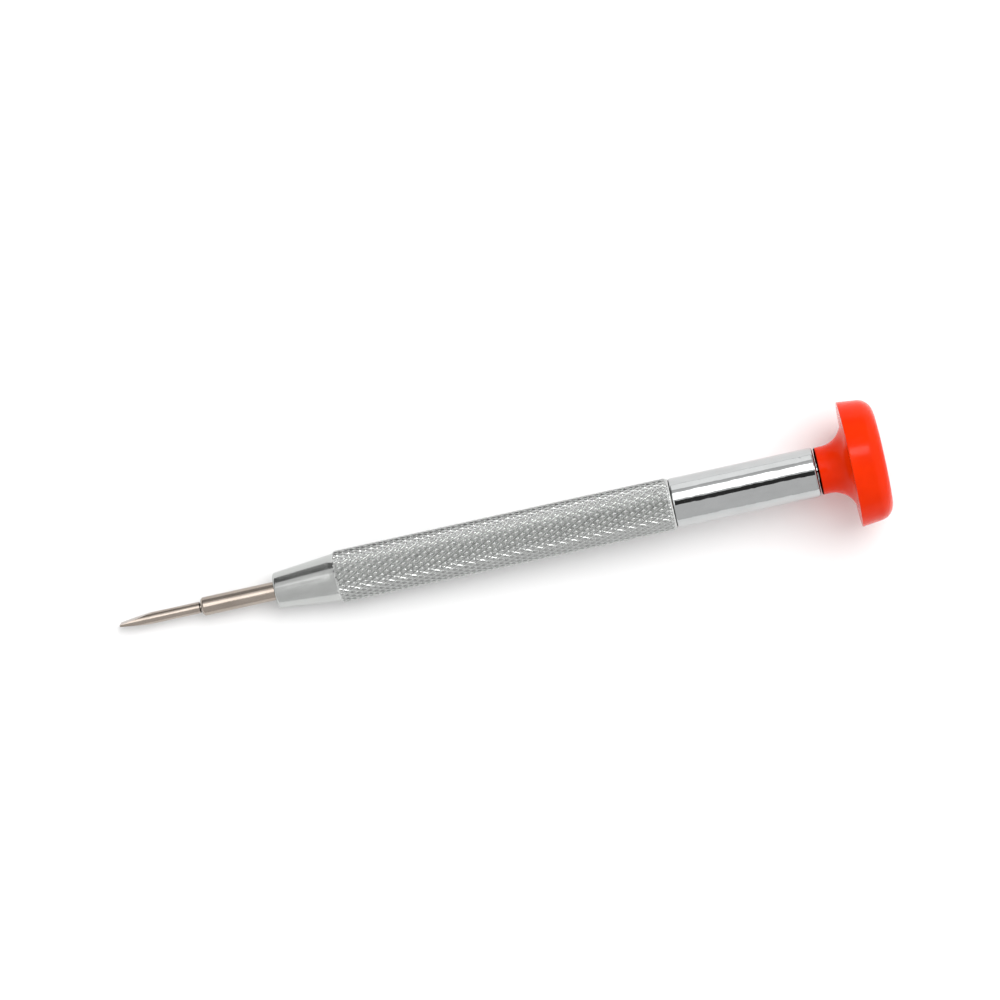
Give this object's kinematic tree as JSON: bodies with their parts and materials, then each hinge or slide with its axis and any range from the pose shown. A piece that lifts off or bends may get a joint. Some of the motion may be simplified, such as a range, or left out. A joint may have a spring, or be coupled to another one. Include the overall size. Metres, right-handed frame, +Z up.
{
  "type": "watchmaker screwdriver",
  "caption": "Slim watchmaker's screwdriver: slotted steel blade in a sleeve, tapered knurled grip, polished rear tube and a wide moulded head that swivels under the finger.",
  "frame": {"origin": "middle of the base of the resting tool's box, on the surface it lies on", "axes": "+Z up; the tool lies along X with its blade towards -X and its head towards +X, and its own axis rises 4.03 degrees towards the head, because it rests on the grip's front shoulder and the head's rim"},
  "size_m": [0.1082, 0.0174, 0.0175],
  "materials": {
    "blade_steel": "fine ground steel, warm grey",
    "sleeve_steel": "fine turned steel, warm grey",
    "dark_steel": "blackened steel",
    "satin_nickel": "satin nickel plate, knurled on the grip",
    "bright_chrome": "mirror polished",
    "bearing_steel": "polished bearing steel",
    "bush_brass": "turned brass",
    "head_plastic": "glossy moulded plastic, orange-red"
  },
  "bodies": {
    "handle": {"barrel": "satin_nickel", "rear_tube": "bright_chrome", "ball_seat": "dark_steel", "pivot_bush": "bush_brass", "retaining_washer": "bearing_steel"},
    "blade_unit": {"blade": "blade_steel", "blade_sleeve": "sleeve_steel"},
    "clamp_screw": {"set_screw": "dark_steel"},
    "head": {"swivel_head": "head_plastic", "head_spindle": "bearing_steel"},
    "ball": {"thrust_ball": "bearing_steel"}
  },
  "joints": [
    {"name": "head_swivel", "type": "hinge", "parent": "handle", "child": "head", "pos_m": [0.04459, 0, 0.00842], "axis": [0.9975, 0, 0.0704], "continuous": true},
    {"name": "ball_spin", "type": "hinge", "parent": "handle", "child": "ball", "pos_m": [0.03142, 0, 0.00749], "axis": [0.9975, 0, 0.0704], "continuous": true},
    {"name": "set_screw_turn", "type": "hinge", "parent": "handle", "child": "clamp_screw", "pos_m": [-0.02674, 0, 0.00138], "axis": [0.0704, 0, -0.9975], "range_deg": [0, 360]},
    {"name": "blade_pull", "type": "slide", "parent": "handle", "child": "blade_unit", "axis": [-0.9975, 0, -0.0704], "range_m": [0, 0.011]}
  ],
  "couplings": [
    {"joint": "ball_spin", "follows": "head_swivel", "ratio": 0.5}
  ]
}
